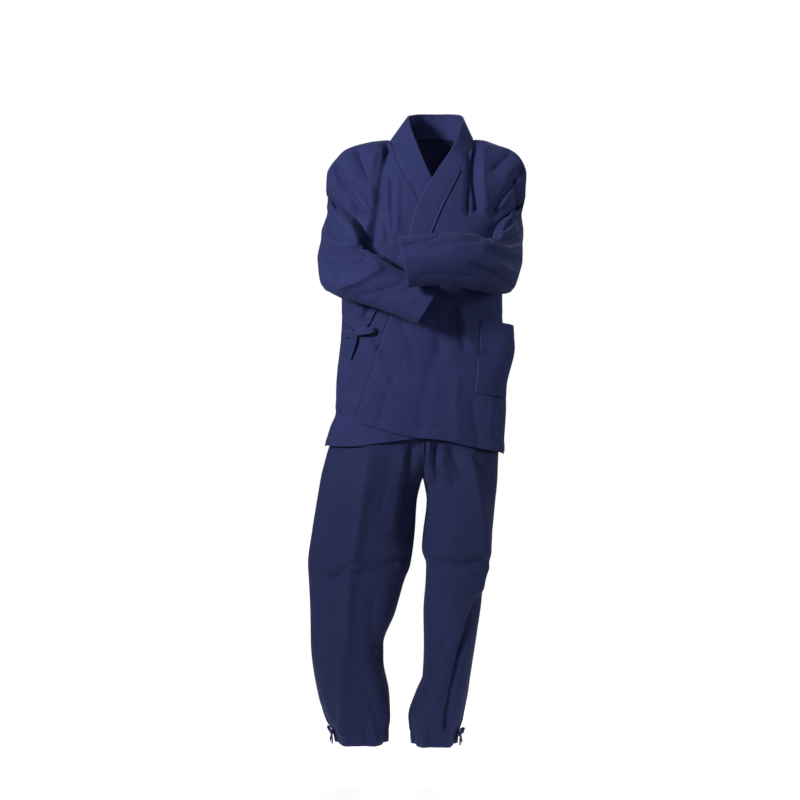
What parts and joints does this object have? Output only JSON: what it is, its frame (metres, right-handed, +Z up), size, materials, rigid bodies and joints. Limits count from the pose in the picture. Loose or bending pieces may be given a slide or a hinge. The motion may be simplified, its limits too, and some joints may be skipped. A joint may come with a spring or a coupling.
{
  "type": "samue",
  "caption": "Wrap jacket with folded-over front, crossed sleeves, patch pocket and waist tie, over gathered ankle trousers, in the form they take when worn.",
  "frame": {"origin": "middle of the neck base between the shoulders, where the wearer's neck and shoulders carry the set", "axes": "+Z up, +X towards the wearer's left, -Y towards the front"},
  "size_m": [0.4964, 0.438, 1.4432],
  "materials": {
    "jacket_cloth": "plain-woven navy cotton, matt with a slight sheen",
    "collar_cloth": "folded navy cotton band",
    "trouser_cloth": "plain-woven navy cotton",
    "tie_cloth": "narrow folded cotton tie",
    "drawstring": "narrow cotton drawstring"
  },
  "bodies": {
    "root": {"body_left": "jacket_cloth", "body_right": "jacket_cloth", "overlap_left": "jacket_cloth", "overlap_right": "jacket_cloth", "collar": "collar_cloth", "sleeve_left": "jacket_cloth", "sleeve_right": "jacket_cloth", "pocket": "jacket_cloth", "tie_strap_front": "tie_cloth", "tie_strap_side": "tie_cloth", "tie_bow": "tie_cloth", "leg_right_front": "trouser_cloth", "leg_right_back": "trouser_cloth", "ankle_bow_right": "drawstring", "leg_left_front": "trouser_cloth", "leg_left_back": "trouser_cloth", "ankle_bow_left": "drawstring"}
  },
  "joints": []
}
